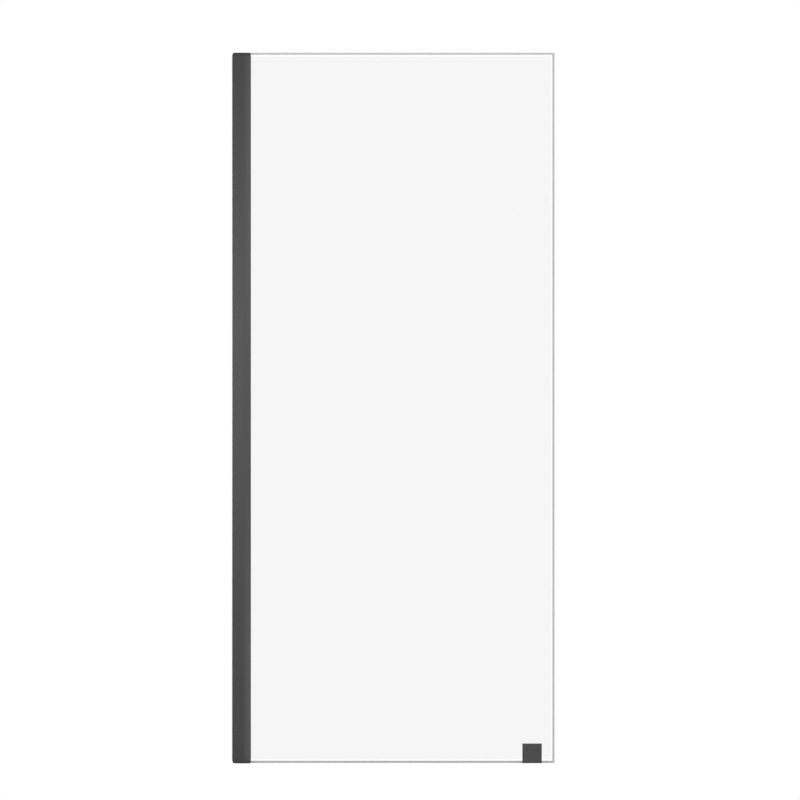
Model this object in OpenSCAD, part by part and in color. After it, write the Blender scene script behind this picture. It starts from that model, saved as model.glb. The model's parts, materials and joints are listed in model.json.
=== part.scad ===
// Glass shower panel: a fixed pane in a telescopic wall jamb, held at its free end by a floor clamp.
// X runs away from the wall, Y from the dry front to the wet rear, and Z up from the shower tray.
// The origin lies on the wall, in the middle plane of the glass, at the level of the tray.

/* [Panel] */
// Height from the shower tray to the top of the glass
panel_h = 1981; // [1000:1:2400]
// Width from the wall to the free edge of the glass
panel_w = 899; // [300:1:1400]
// Thickness of the toughened glass
glass_t = 8; // [6:1:10]
// Gap between the tray and the lower edges of the glass and the clamp
glass_lift = 1.5; // [1:0.5:4]
// Radius of the corners of the pane
glass_corner_r = 2; // [0.5:0.5:6]
// Flat land left along the middle of the ground, rounded edges of the pane
glass_edge_flat = 1; // [0.5:0.1:3]
// Width of the arris round the hole in the glass
hole_arris = 0.8; // [0.3:0.1:1.5]

/* [Wall jamb] */
// Gap between the wall and the jamb when it is pushed fully home
wall_gap = 1; // [0.5:0.5:3]
// Width of the jamb, seen from the front
jamb_w = 51; // [48:0.5:70]
// Depth of the jamb from front to rear
jamb_d = 32; // [28:1:50]
// Wall thickness of the jamb
jamb_wall = 2; // [1.5:0.1:2.5]
// Radius of the jamb's outer corners
jamb_edge_r = 1.5; // [0.5:0.1:2]
// Depth of the pocket that takes the glass
pocket_l = 13; // [10:0.5:15]

/* [Wall channel] */
// Wall thickness of the channel that is screwed to the wall
channel_wall = 2; // [1.5:0.1:2.5]
// Side clearance between the channel and the jamb that slides over it
slide_gap = 0.3; // [0.2:0.05:0.6]
// Gap between the tip of the channel and the jamb's cross web
channel_tip_gap = 2; // [1:0.5:4]
// Gap between the ends of the channel and the end caps
channel_end_gap = 1; // [0.5:0.5:4]
// Diameter of the holes for the wall screws
wall_hole_d = 6; // [4:0.5:8]
// Number of wall screws
wall_hole_count = 4; // [2:1:6]
// Height of the lowest wall screw, and distance of the highest one from the top
wall_hole_margin = 120; // [60:5:200]

/* [End caps] */
// Height of the visible part of an end cap
cap_h = 8; // [6:0.5:12]
// Radius of the cap's corner at the wall
cap_wall_r = 7; // [2:0.5:7]
// Radius of the cap's corner at the glass
cap_glass_r = 4; // [1:0.5:5]
// Radius of the cap's front and rear edges
cap_side_r = 1; // [0.5:0.1:1.5]
// Length of the plugs that hold a cap in the jamb
cap_plug_l = 14; // [6:1:30]
// Clearance of the plugs in the jamb's side chambers
cap_plug_gap = 0.2; // [0.1:0.05:0.4]
// Clearance of the glass in the cap's slot
cap_slot_gap = 0.3; // [0.2:0.05:0.5]

/* [Glazing] */
// Thickness of the gasket on each side of the glass
gasket_t = 3; // [2:0.25:3.5]
// Thickness of the gasket's lip outside the pocket
lip_t = 0.8; // [0.5:0.1:1.5]
// Overlap of the lip over the end of the jamb
lip_overlap = 1.6; // [0.8:0.1:2.5]
// Thickness of the spacers between the glass and the floor of the pocket
spacer_t = 2; // [1:0.5:3]
// Height of one spacer
spacer_h = 40; // [20:5:80]
// Number of spacers
spacer_count = 3; // [2:1:5]
// Distance of the end spacers from the ends of the jamb
spacer_margin = 60; // [30:5:150]

/* [Width adjustment] */
// Travel of the jamb on the channel
travel = 20; // [5:1:20]
// Number of locking screws
lock_count = 4; // [2:1:6]
// Height of the lowest locking screw, and distance of the highest one from the top
lock_margin = 300; // [220:5:400]
// Thread diameter of the locking screws
lock_screw_d = 4; // [3:0.5:4]
// Length of the locking screws under the head
lock_screw_l = 12; // [10:1:14]
// Diameter of the pan head
lock_head_d = 8; // [7:0.5:9]
// Height of the pan head
lock_head_h = 3.1; // [2:0.1:3.5]
// Depth of the cross recess in the head
lock_recess = 1.6; // [0.8:0.1:1.8]
// Clearance of the screw in the jamb's hole, on the diameter
lock_hole_play = 0.5; // [0.3:0.1:1]
// Width of the sliding nut, along the travel
nut_w = 8; // [7:0.5:8]
// Height of the sliding nut
nut_h = 10; // [9:0.5:16]
// Thickness of the sliding nut behind the channel
nut_t = 2.5; // [2:0.1:3]
// Side of the square neck that runs in the slot
nut_neck = 6; // [5:0.25:6.5]
// Clearance of the neck in the slot
nut_neck_gap = 0.2; // [0.1:0.05:0.4]
// Gap between the nut and the channel's web when the jamb is fully home
nut_web_gap = 2; // [1:0.5:2]
// Outer diameter of the base washer
washer_d = 10.4; // [9.5:0.1:11]
// Thickness of the base washer
washer_t = 1.2; // [0.8:0.1:1.6]
// Wall thickness of the snap-on cover
cover_wall = 1; // [0.6:0.1:1.2]
// Clearance between the cover and the base washer
cover_fit = 0.1; // [0.05:0.05:0.2]
// Free height above the screw head inside the cover
cover_headroom = 0.4; // [0.2:0.1:1]

/* [Floor clamp] */
// Side of the square clamp
clamp_w = 54; // [46:1:70]
// Distance of the clamp from the free edge of the glass
clamp_edge = 35.5; // [10:0.5:120]
// Thickness of the clamp's front and rear plates
clamp_plate_t = 9; // [8:0.5:14]
// Width of the bevel round the clamp's faces
clamp_bevel = 1.25; // [0.5:0.25:3]
// Thickness of the pads between the clamp and the glass
clamp_pad_t = 1.5; // [1:0.25:3]
// Inset of the pads from the edges of the clamp
clamp_pad_inset = 2; // [1:0.5:5]
// Thickness of the foot
foot_t = 6; // [5:0.5:10]
// Length of the foot behind the rear plate
foot_l = 30; // [24:1:50]
// Radius of the foot's rear corners
foot_corner_r = 5; // [1:0.5:10]
// Radius of the fillet between the foot and the rear plate
foot_fillet_r = 4; // [1:0.5:6]
// Diameter of the holes for the tray screws
foot_hole_d = 5.5; // [4:0.5:6.5]
// Diameter of the countersinks for the tray screws
foot_sink_d = 10.5; // [8:0.5:12]
// Distance between the tray screws
foot_hole_pitch = 32; // [24:1:34]
// Diameter of the hole in the glass
glass_hole_d = 16; // [14:0.5:20]
// Thread diameter of the clamp screw
clamp_screw_d = 8; // [6:1:8]
// Length of the countersunk clamp screw, head included
clamp_screw_l = 25; // [23:1:26]
// Head diameter of the clamp screw
clamp_head_d = 16; // [13:0.5:17]
// Width across the flats of the hexagon socket
clamp_socket_af = 5; // [4:1:5]
// Depth of the hexagon socket
clamp_socket_l = 3.2; // [2:0.1:4]
// Depth of the screw head below the rear face of the clamp
clamp_head_sink = 0.3; // [0.1:0.1:0.8]
// Depth of the threaded hole in the clamp's front plate
clamp_thread_l = 7; // [6:0.5:7]
// Clearance round the clamp screw's shank, on the diameter
clamp_screw_play = 0.4; // [0.2:0.1:0.8]
// Clearance of the bush in the glass, on the radius
bush_gap = 0.1; // [0.05:0.05:0.3]
// Inset of the clear pad from the sides and the rear of the clamp's foot
setting_pad_inset = 1; // [0.5:0.5:2]

/* [Hidden] */

// Facets of a full circle
$fn = 48;
// Overrun of a cutting shape past the face it cuts
cut = 1;
// Radial clearance between a thread and its nut
thread_gap = 0.05;

// Jamb: left and right ends, pocket, cross web and sliding cavity
jamb_x0 = wall_gap;
jamb_x1 = jamb_x0 + jamb_w;
jamb_half = jamb_d / 2;
pocket_x0 = jamb_x1 - pocket_l;
pocket_half = glass_t / 2 + gasket_t;
web_x0 = pocket_x0 - jamb_wall;
cavity_half = jamb_half - jamb_wall;
jamb_z0 = cap_h;
jamb_l = panel_h - 2 * cap_h;

// Side chambers of the jamb, beside the glass pocket, that take the plugs of the caps
chamber_x1 = jamb_x1 - jamb_wall;
chamber_y0 = pocket_half + jamb_wall;
chamber_w = chamber_x1 - pocket_x0;
chamber_d = cavity_half - chamber_y0;

// Channel
channel_half = cavity_half - slide_gap;
channel_in = channel_half - channel_wall;
channel_tip = web_x0 - channel_tip_gap;
channel_z0 = cap_h + channel_end_gap;
channel_l = panel_h - 2 * channel_z0;

// Glass
glass_x0 = pocket_x0 + spacer_t;
glass_w = panel_w - glass_x0;
glass_edge_r = (glass_t - glass_edge_flat) / 2;

// Locking screws: distance from the wall, slot in the channel, seats along Y
lock_x = channel_wall + nut_web_gap + nut_w / 2;
slot_x0 = lock_x - nut_neck / 2 - nut_neck_gap;
slot_l = travel + nut_neck + 2 * nut_neck_gap;
slot_h = nut_neck + 2 * nut_neck_gap;
nut_y1 = channel_in - slide_gap;
neck_y1 = channel_half - slide_gap;
head_y = jamb_half + washer_t;
cover_r = washer_d / 2 + cover_fit + cover_wall;
cover_h = washer_t + lock_head_h + cover_headroom + cover_wall;

// Clamp: middle of the plates, and the faces of the pads and plates along Y
clamp_x = panel_w - clamp_edge - clamp_w / 2;
clamp_z = glass_lift + clamp_w / 2;
pad_face = glass_t / 2;
plate_face = pad_face + clamp_pad_t;
clamp_back = plate_face + clamp_plate_t;
head_top_y = clamp_back - clamp_head_sink;
pad_w = clamp_w - 2 * clamp_pad_inset;
foot_hole_y = clamp_back + foot_fillet_r + (foot_l - foot_fillet_r) / 2;

// Place number i of a row of n, spread over the height between two equal margins
function spread(i, n, margin) = margin + i * (panel_h - 2 * margin) / (n - 1);

// Extrudes an outline drawn in (y, z) along X, centred
module along_x(length) {
    rotate([90, 0, 90]) linear_extrude(length, center = true) children();
}

// Extrudes an outline drawn in (x, z) along Y, centred
module along_y(length) {
    rotate([90, 0, 0]) linear_extrude(length, center = true) children();
}

// A cylinder or cone along Y from y0 to y1
module rod_y(y0, y1, r0, r1) {
    translate([0, y0, 0]) rotate([-90, 0, 0]) cylinder(h = y1 - y0, r1 = r0, r2 = r1);
}

// A rectangle from one corner to the other, with four round corners
module rounded_rect(p0, p1, r) {
    size = p1 - p0;
    translate(p0 + [r, 0]) square(size - [2 * r, 0]);
    translate(p0 + [0, r]) square(size - [0, 2 * r]);
    for (x = [p0[0] + r, p1[0] - r], y = [p0[1] + r, p1[1] - r]) {
        translate([x, y]) circle(r);
    }
}

// A rectangle from one corner to the other, with four cut corners
module chamfered_rect(p0, p1, c) {
    polygon([
        [p0[0] + c, p0[1]], [p1[0] - c, p0[1]], [p1[0], p0[1] + c], [p1[0], p1[1] - c],
        [p1[0] - c, p1[1]], [p0[0] + c, p1[1]], [p0[0], p1[1] - c], [p0[0], p0[1] + c]
    ]);
}

// Keeps a shape and adds its mirror image across the plane of the glass
module both_sides() {
    children();
    mirror([0, 1, 0]) children();
}

// Puts a shape at each locking screw
module at_locks() {
    for (i = [0 : lock_count - 1]) {
        translate([lock_x, 0, spread(i, lock_count, lock_margin)]) children();
    }
}

// Puts a shape at the middle of the clamp, on the middle plane of the glass
module at_clamp() {
    translate([clamp_x, 0, clamp_z]) children();
}

// Puts a shape on the tray at the place of each tray screw
module at_tray_screws() {
    for (side = [-1, 1]) translate([clamp_x + side * foot_hole_pitch / 2, foot_hole_y, 0]) children();
}

// Slot for the neck of a sliding nut, through the rear leg of the channel
module channel_slot() {
    translate([slot_x0 - lock_x, channel_in - cut, -slot_h / 2])
        cube([slot_l, channel_wall + 2 * cut, slot_h]);
}

// U-shaped extrusion that is screwed to the wall
module wall_channel() {
    color("#8d8f91") difference() {
        translate([0, -channel_half, channel_z0]) cube([channel_tip, 2 * channel_half, channel_l]);
        translate([channel_wall, -channel_in, channel_z0 - cut])
            cube([channel_tip, 2 * channel_in, channel_l + 2 * cut]);
        for (i = [0 : wall_hole_count - 1]) {
            translate([-cut, 0, spread(i, wall_hole_count, wall_hole_margin)])
                rotate([0, 90, 0]) cylinder(h = channel_wall + 2 * cut, d = wall_hole_d);
        }
        at_locks() channel_slot();
    }
}

// Outline of the jamb and of its end caps, seen from above
module jamb_outline() {
    rounded_rect([jamb_x0, -jamb_half], [jamb_x1, jamb_half], jamb_edge_r);
}

// Section of the jamb: sliding cavity at the wall, glass pocket at the other end, a chamber each side
module jamb_section() {
    difference() {
        jamb_outline();
        translate([jamb_x0 - cut, -cavity_half]) square([web_x0 - jamb_x0 + cut, 2 * cavity_half]);
        translate([pocket_x0, -pocket_half]) square([pocket_l + cut, 2 * pocket_half]);
        both_sides() translate([pocket_x0, chamber_y0]) square([chamber_w, chamber_d]);
    }
}

// Extruded jamb that slides over the channel and carries the glass
module jamb() {
    color("#565656") difference() {
        translate([0, 0, jamb_z0]) linear_extrude(jamb_l) jamb_section();
        at_locks() rod_y(cavity_half - cut, jamb_half + cut,
            (lock_screw_d + lock_hole_play) / 2, (lock_screw_d + lock_hole_play) / 2);
    }
}

// Front view of an end cap that stands on z = 0, with its two round upper corners
module cap_elevation() {
    translate([jamb_x0, 0]) square([cap_wall_r, cap_h - cap_wall_r]);
    translate([jamb_x0 + cap_wall_r, 0]) square([jamb_w - cap_wall_r - cap_glass_r, cap_h]);
    translate([jamb_x1 - cap_glass_r, 0]) square([cap_glass_r, cap_h - cap_glass_r]);
    intersection() {
        translate([jamb_x0 + cap_wall_r, cap_h - cap_wall_r]) circle(cap_wall_r);
        translate([jamb_x0, cap_h - cap_wall_r]) square(cap_wall_r);
    }
    intersection() {
        translate([jamb_x1 - cap_glass_r, cap_h - cap_glass_r]) circle(cap_glass_r);
        translate([jamb_x1 - cap_glass_r, cap_h - cap_glass_r]) square(cap_glass_r);
    }
}

// Side view of an end cap that stands on z = 0, with round upper edges at the front and rear
module cap_side() {
    intersection() {
        rounded_rect([-jamb_half, -2 * cap_side_r], [jamb_half, cap_h], cap_side_r);
        translate([-jamb_half, 0]) square([jamb_d, cap_h]);
    }
}

// End cap that stands on z = 0, with its plugs below
module cap_blank() {
    intersection() {
        linear_extrude(cap_h) jamb_outline();
        along_y(jamb_d) cap_elevation();
        translate([(jamb_x0 + jamb_x1) / 2, 0, 0]) along_x(jamb_w) cap_side();
    }
    both_sides() translate([pocket_x0 + cap_plug_gap, chamber_y0 + cap_plug_gap, -cap_plug_l])
        cube([chamber_w - 2 * cap_plug_gap, chamber_d - 2 * cap_plug_gap, cap_plug_l]);
}

// Space that the glass takes in a cap, from z0 to z1
module cap_slot(z0, z1) {
    half = glass_t / 2 + cap_slot_gap;
    slot_w = jamb_x1 - glass_x0 + cap_slot_gap + cut;
    translate([glass_x0 - cap_slot_gap, -half, z0]) cube([slot_w, 2 * half, z1 - z0]);
}

// Moulded cap on the upper end of the jamb, slotted for the glass
module top_cap() {
    color("#404040") difference() {
        translate([0, 0, panel_h - cap_h]) cap_blank();
        cap_slot(panel_h - cap_h - cut, panel_h + cut);
    }
}

// Moulded cap on the lower end of the jamb, with a floor under the glass
module bottom_cap() {
    color("#404040") difference() {
        translate([0, 0, cap_h]) mirror([0, 0, 1]) cap_blank();
        cap_slot(glass_lift, cap_h + cut);
    }
}

// Toughened pane with rounded, ground edges and the hole for the clamp
module glass() {
    hole_r = glass_hole_d / 2;
    color([0.78, 0.88, 0.86, 0.35]) difference() {
        intersection() {
            along_y(glass_t) rounded_rect([glass_x0, glass_lift], [panel_w, panel_h], glass_corner_r);
            linear_extrude(panel_h)
                rounded_rect([glass_x0, -glass_t / 2], [panel_w, glass_t / 2], glass_edge_r);
            translate([(glass_x0 + panel_w) / 2, 0, 0]) along_x(glass_w)
                rounded_rect([-glass_t / 2, glass_lift], [glass_t / 2, panel_h], glass_edge_r);
        }
        at_clamp() {
            rod_y(-glass_t / 2 - cut, glass_t / 2 + cut, hole_r, hole_r);
            both_sides()
                rod_y(glass_t / 2 - hole_arris, glass_t / 2 + cut, hole_r, hole_r + hole_arris + cut);
        }
    }
}

// Gasket on the rear side of the glass: a strip in the pocket and a lip outside it
module gasket() {
    foot_x = glass_x0 + glass_edge_r;
    translate([0, 0, jamb_z0]) linear_extrude(jamb_l) {
        translate([foot_x, glass_t / 2]) square([jamb_x1 - foot_x, gasket_t]);
        translate([jamb_x1, glass_t / 2]) square([lip_t, gasket_t + lip_overlap - lip_t / 2]);
        translate([jamb_x1 + lip_t / 2, pocket_half + lip_overlap - lip_t / 2]) circle(d = lip_t);
    }
}

module front_gasket() {
    color("#232425") mirror([0, 1, 0]) gasket();
}

module rear_gasket() {
    color("#232425") gasket();
}

// Spacers between the edge of the glass and the floor of the pocket
module glass_spacers() {
    half = glass_t / 2 - glass_edge_flat;
    color("#c9ccce") for (i = [0 : spacer_count - 1]) {
        translate([pocket_x0, -half, spread(i, spacer_count, jamb_z0 + spacer_margin) - spacer_h / 2])
            cube([spacer_t, 2 * half, spacer_h]);
    }
}

// Pan-head screw along Y: the head's seat is at head_y and the shank points to the glass
module locking_screw() {
    head_r = lock_head_d / 2;
    recess_w = lock_head_d / 2;
    recess_t = lock_screw_d / 4;
    difference() {
        union() {
            rod_y(head_y - lock_screw_l, head_y, lock_screw_d / 2, lock_screw_d / 2);
            rod_y(head_y, head_y + lock_head_h / 2, head_r, head_r);
            rod_y(head_y + lock_head_h / 2, head_y + lock_head_h, head_r, head_r - lock_head_h / 2);
        }
        for (size = [[recess_w, recess_t], [recess_t, recess_w]]) {
            translate([-size[0] / 2, head_y + lock_head_h - lock_recess, -size[1] / 2])
                cube([size[0], lock_recess + cut, size[1]]);
        }
    }
}

module locking_screws() {
    color("#b9bcbf") at_locks() locking_screw();
}

// Sliding nut: a plate inside the channel and a square neck in its slot
module locking_nuts() {
    bore_r = lock_screw_d / 2 + thread_gap;
    color("#b9bcbf") at_locks() difference() {
        union() {
            translate([-nut_w / 2, nut_y1 - nut_t, -nut_h / 2]) cube([nut_w, nut_t, nut_h]);
            translate([-nut_neck / 2, nut_y1 - nut_t / 2, -nut_neck / 2])
                cube([nut_neck, neck_y1 - nut_y1 + nut_t / 2, nut_neck]);
        }
        rod_y(nut_y1 - nut_t - cut, neck_y1 + cut, bore_r, bore_r);
    }
}

// Base washers that the covers snap onto
module locking_washers() {
    hole_r = (lock_screw_d + lock_hole_play) / 2;
    color("#404040") at_locks() difference() {
        rod_y(jamb_half, head_y, washer_d / 2, washer_d / 2);
        rod_y(jamb_half - cut, head_y + cut, hole_r, hole_r);
    }
}

// Domed covers over the heads of the locking screws
module screw_covers() {
    inner_r = cover_r - cover_wall;
    inner_h = cover_h - cover_wall;
    color("#404040") at_locks() translate([0, jamb_half, 0]) rotate([-90, 0, 0]) rotate_extrude()
        difference() {
            union() {
                square([cover_r, cover_h - cover_wall]);
                square([cover_r - cover_wall, cover_h]);
                translate([cover_r - cover_wall, cover_h - cover_wall]) circle(cover_wall);
            }
            translate([-cover_r, -cut]) square([cover_r + inner_r, inner_h + cut]);
            translate([-2 * cover_r, -cut]) square([2 * cover_r, cover_h + 2 * cut]);
        }
}

// Square plate behind y = 0, with bevelled edges all round its face at y = clamp_plate_t
module clamp_plate() {
    half = clamp_w / 2;
    intersection() {
        translate([-half, 0, -half]) cube([clamp_w, clamp_plate_t, clamp_w]);
        translate([0, 0, -half]) linear_extrude(clamp_w)
            chamfered_rect([-half, -clamp_plate_t], [half, clamp_plate_t], clamp_bevel);
        along_x(clamp_w) chamfered_rect([-clamp_plate_t, -half], [clamp_plate_t, half], clamp_bevel);
    }
}

// Front plate of the clamp, with a blind threaded hole for the screw
module clamp_cover() {
    thread_r = clamp_screw_d / 2 + thread_gap;
    color("#4c4c4c") at_clamp() difference() {
        translate([0, -plate_face, 0]) mirror([0, 1, 0]) clamp_plate();
        rod_y(-plate_face - clamp_thread_l, -plate_face + cut, thread_r, thread_r);
    }
}

// Foot of the clamp, seen from above: it starts at y0 and has round rear corners
module foot_outline(y0, inset) {
    half = clamp_w / 2 - inset;
    y1 = clamp_back + foot_l - inset;
    rounded_rect([-half, y0], [half, y1], foot_corner_r);
    translate([-half, y0]) square([2 * half, (y1 - y0) / 2]);
}

// Concave fillet in the corner between the foot and the rear plate
module foot_fillet() {
    translate([0, clamp_back, foot_t]) along_x(clamp_w - 2 * clamp_bevel) difference() {
        translate([-cut, -cut]) square(foot_fillet_r + cut);
        translate([foot_fillet_r, foot_fillet_r]) circle(foot_fillet_r);
    }
}

// Rear plate of the clamp with its foot, drilled for the clamp screw and the two tray screws
module clamp_body() {
    shank_r = (clamp_screw_d + clamp_screw_play) / 2;
    head_r = (clamp_head_d + clamp_screw_play) / 2;
    hole_r = foot_hole_d / 2;
    sink = (foot_sink_d - foot_hole_d) / 2;
    foot_top = glass_lift + foot_t;
    color("#4c4c4c") difference() {
        union() {
            translate([clamp_x, plate_face, clamp_z]) clamp_plate();
            translate([clamp_x, 0, glass_lift]) {
                linear_extrude(foot_t) foot_outline(plate_face + clamp_plate_t / 2, 0);
                foot_fillet();
            }
        }
        at_clamp() {
            rod_y(plate_face - cut, clamp_back + cut, shank_r, shank_r);
            rod_y(head_top_y - head_r + shank_r, head_top_y, shank_r, head_r);
            rod_y(head_top_y, clamp_back + cut, head_r, head_r);
        }
        at_tray_screws() {
            cylinder(h = foot_top + cut, r = hole_r);
            translate([0, 0, foot_top - sink])
                cylinder(h = sink + cut, r1 = hole_r, r2 = hole_r + sink + cut);
        }
    }
}

// Pad between the rear plate and the glass, with a hole for the bush
module clamp_pad() {
    hole_r = glass_hole_d / 2;
    at_clamp() difference() {
        translate([0, pad_face + clamp_pad_t / 2, 0]) along_y(clamp_pad_t)
            rounded_rect([-pad_w / 2, -pad_w / 2], [pad_w / 2, pad_w / 2], clamp_pad_inset);
        rod_y(pad_face - cut, plate_face + cut, hole_r, hole_r);
    }
}

module clamp_front_pad() {
    color("#2b2c2d") mirror([0, 1, 0]) clamp_pad();
}

module clamp_rear_pad() {
    color("#2b2c2d") clamp_pad();
}

// Sleeve that keeps the clamp screw off the glass, from pad face to pad face
module clamp_bush() {
    outer_r = glass_hole_d / 2 - bush_gap;
    inner_r = (clamp_screw_d + clamp_screw_play) / 2;
    color("#e4e4df") at_clamp() difference() {
        rod_y(-plate_face, plate_face, outer_r, outer_r);
        rod_y(-plate_face - cut, plate_face + cut, inner_r, inner_r);
    }
}

// Countersunk screw with a hexagon socket, from the rear of the clamp into its front plate
module clamp_screw() {
    shank_r = clamp_screw_d / 2;
    head_r = clamp_head_d / 2;
    socket_r = clamp_socket_af / 2 / cos(30);
    color("#b9bcbf") at_clamp() difference() {
        union() {
            rod_y(head_top_y - clamp_screw_l, head_top_y, shank_r, shank_r);
            rod_y(head_top_y - head_r + shank_r, head_top_y, shank_r, head_r);
        }
        translate([0, head_top_y - clamp_socket_l, 0]) rotate([-90, 0, 0])
            cylinder(h = clamp_socket_l + cut, r = socket_r, $fn = 6);
    }
}

// Clear pad on the tray that carries the glass and the clamp's foot, drilled for the tray screws
module setting_pad() {
    color("#c9ccce") difference() {
        translate([clamp_x, 0, 0]) linear_extrude(glass_lift)
            foot_outline(-glass_t / 2, setting_pad_inset);
        at_tray_screws() translate([0, 0, -cut])
            cylinder(h = glass_lift + 2 * cut, d = foot_hole_d);
    }
}

wall_channel();
jamb();
top_cap();
bottom_cap();
glass();
front_gasket();
rear_gasket();
glass_spacers();
locking_screws();
locking_nuts();
locking_washers();
screw_covers();
clamp_cover();
clamp_body();
clamp_front_pad();
clamp_rear_pad();
clamp_bush();
clamp_screw();
setting_pad();
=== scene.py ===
"""Looks of a fixed glass shower panel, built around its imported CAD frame.

The pane, the screws and every finish are made here. All other pieces are the CAD solids themselves, with
their edges broken a little and a procedural finish on each.
"""

import json
import logging
import math
from collections.abc import Callable
from dataclasses import dataclass, field, replace
from enum import Enum
from itertools import pairwise

import bmesh
import bpy
from bmesh.types import BMesh, BMFace, BMVert
from bpy.types import Material, Node, NodeSocket, NodeTree, Object
from mathutils import Euler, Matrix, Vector

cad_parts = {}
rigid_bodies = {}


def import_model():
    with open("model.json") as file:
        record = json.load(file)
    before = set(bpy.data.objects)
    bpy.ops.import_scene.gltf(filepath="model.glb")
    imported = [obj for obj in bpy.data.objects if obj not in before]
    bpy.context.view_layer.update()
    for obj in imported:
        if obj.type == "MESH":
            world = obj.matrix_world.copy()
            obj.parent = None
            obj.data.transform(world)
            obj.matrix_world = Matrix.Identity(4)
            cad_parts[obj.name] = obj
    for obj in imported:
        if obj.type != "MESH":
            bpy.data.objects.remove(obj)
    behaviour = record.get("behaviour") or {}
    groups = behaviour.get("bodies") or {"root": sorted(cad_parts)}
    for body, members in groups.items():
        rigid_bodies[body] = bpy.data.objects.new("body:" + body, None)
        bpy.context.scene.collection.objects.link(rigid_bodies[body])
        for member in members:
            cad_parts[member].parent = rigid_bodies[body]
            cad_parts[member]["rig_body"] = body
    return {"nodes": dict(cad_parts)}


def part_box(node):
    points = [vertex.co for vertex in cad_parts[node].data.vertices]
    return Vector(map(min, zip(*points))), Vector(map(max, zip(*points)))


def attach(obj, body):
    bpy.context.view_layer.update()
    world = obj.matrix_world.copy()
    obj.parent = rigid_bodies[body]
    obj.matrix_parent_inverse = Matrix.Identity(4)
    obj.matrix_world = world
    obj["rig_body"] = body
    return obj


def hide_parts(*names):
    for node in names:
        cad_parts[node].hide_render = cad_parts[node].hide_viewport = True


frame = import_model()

log = logging.getLogger("shower_panel")

MM = 0.001

# Points round a turned piece: 7.5 degrees apart, so that hexagons and crosses keep their corners
TURN_STEPS = 48
# Steps of a quarter circle in the corners and edges of the pane, and in the crowns of pan heads
QUARTER_STEPS = 12
# Edges sharper than this stay crisp on turned pieces, and are rounded on CAD pieces
CREASE_ANGLE = math.radians(32)
# CAD faces that meet at less than this are taken as one flat face
FLAT_ANGLE = math.radians(2)
# Points closer than this are taken as one point
SAME_POINT = 0.0005 * MM
# Faces across a rounded edge
EDGE_FACES = 2
# A wave texture of scale one repeats after this length
WAVE_LENGTH = math.tau / 20
# Several sockets of a mix node share a name, so the two inputs and the output for colours go by number
MIX_DARK, MIX_LIGHT, MIX_RESULT = 6, 7, 2


def linear_colour(code: str) -> tuple[float, float, float, float]:
    """Turns an sRGB hex colour into the linear colour that the shaders work in.

    Args:
        code: Colour as "#rrggbb".

    Returns:
        Red, green, blue and an alpha of one.
    """
    slope, knee, offset, power = 12.92, 0.04045, 0.055, 2.4
    channels = []
    for byte in bytes.fromhex(code.removeprefix("#")):
        level = byte / 255
        channels.append(level / slope if level <= knee else ((level + offset) / (1 + offset)) ** power)
    red, green, blue = channels
    return red, green, blue, 1.0


def add_node(
    tree: NodeTree,
    kind: str,
    links: dict[int | str, NodeSocket] | None = None,
    values: dict[int | str, object] | None = None,
    **settings: object,
) -> Node:
    """Adds a shader node with its settings, input values and links.

    Args:
        tree: Node tree to add to.
        kind: Blender's name for the node's type.
        links: Input name or number, and the output that feeds it.
        values: Input name or number, and its value.
        settings: Properties of the node itself.

    Returns:
        The new node.
    """
    node = tree.nodes.new(kind)
    for name, setting in settings.items():
        setattr(node, name, setting)
    for name, value in (values or {}).items():
        node.inputs[name].default_value = value
    for name, socket in (links or {}).items():
        tree.links.new(socket, node.inputs[name])
    return node


class Pattern(Enum):
    """Ways in which a surface is uneven."""

    CLOUD = "soft patches, or lines where one size is far longer than the others"
    CELLS = "packed grains, as spark erosion leaves in a mould"
    RINGS = "circles round the piece's own Y axis, as a lathe leaves"
    SHOULDER = "none up to a line across X, and from there on a slow curve"


@dataclass(frozen=True)
class Grain:
    """One pattern in a finish.

    Attributes:
        size_mm: Spacing of the pattern along X, Y and Z.
        pattern: Form of the pattern.
        tone: Share of the way between the two tones that it moves the colour.
        rough: Change in roughness from its low places to its high ones.
        height_mm: Height of its high places over its low ones.
        start_mm: Where a shoulder starts along X.
    """

    size_mm: tuple[float, float, float]
    pattern: Pattern = Pattern.CLOUD
    tone: float = 0.0
    rough: float = 0.0
    height_mm: float = 0.0
    start_mm: float = 0.0

    def strength(self, tree: NodeTree, place: NodeSocket) -> NodeSocket:
        """Adds the pattern's texture.

        Args:
            tree: Material's node tree.
            place: Position on the piece, in metres.

        Returns:
            Output that runs from zero to one, with its middle at a half.
        """
        scale = [1 / (size * MM) for size in self.size_mm]
        scaled = add_node(tree, "ShaderNodeMapping", {"Vector": place}, {"Scale": scale}).outputs[0]
        if self.pattern is Pattern.SHOULDER:
            across = add_node(tree, "ShaderNodeSeparateXYZ", {"Vector": scaled}).outputs["X"]
            start = {1: self.start_mm / self.size_mm[0]}
            past = add_node(tree, "ShaderNodeMath", {0: across}, start, operation="SUBTRACT").outputs[0]
            kept = add_node(tree, "ShaderNodeMath", {0: past}, {1: 0.0}, operation="MAXIMUM").outputs[0]
            return add_node(tree, "ShaderNodeMath", {0: kept, 1: kept}, operation="MULTIPLY").outputs[0]
        if self.pattern is Pattern.CELLS:
            cells = add_node(tree, "ShaderNodeTexVoronoi", {"Vector": scaled}, {"Scale": 1.0})
            return cells.outputs["Distance"]
        if self.pattern is Pattern.RINGS:
            wave = {"Scale": WAVE_LENGTH, "Distortion": 0.6, "Detail": 1.0}
            rings = {"wave_type": "RINGS", "rings_direction": "Y"}
            return add_node(tree, "ShaderNodeTexWave", {"Vector": scaled}, wave, **rings).outputs["Fac"]
        noise = {"Scale": 1.0, "Detail": 2.0, "Roughness": 0.5}
        return add_node(tree, "ShaderNodeTexNoise", {"Vector": scaled}, noise).outputs["Fac"]


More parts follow.
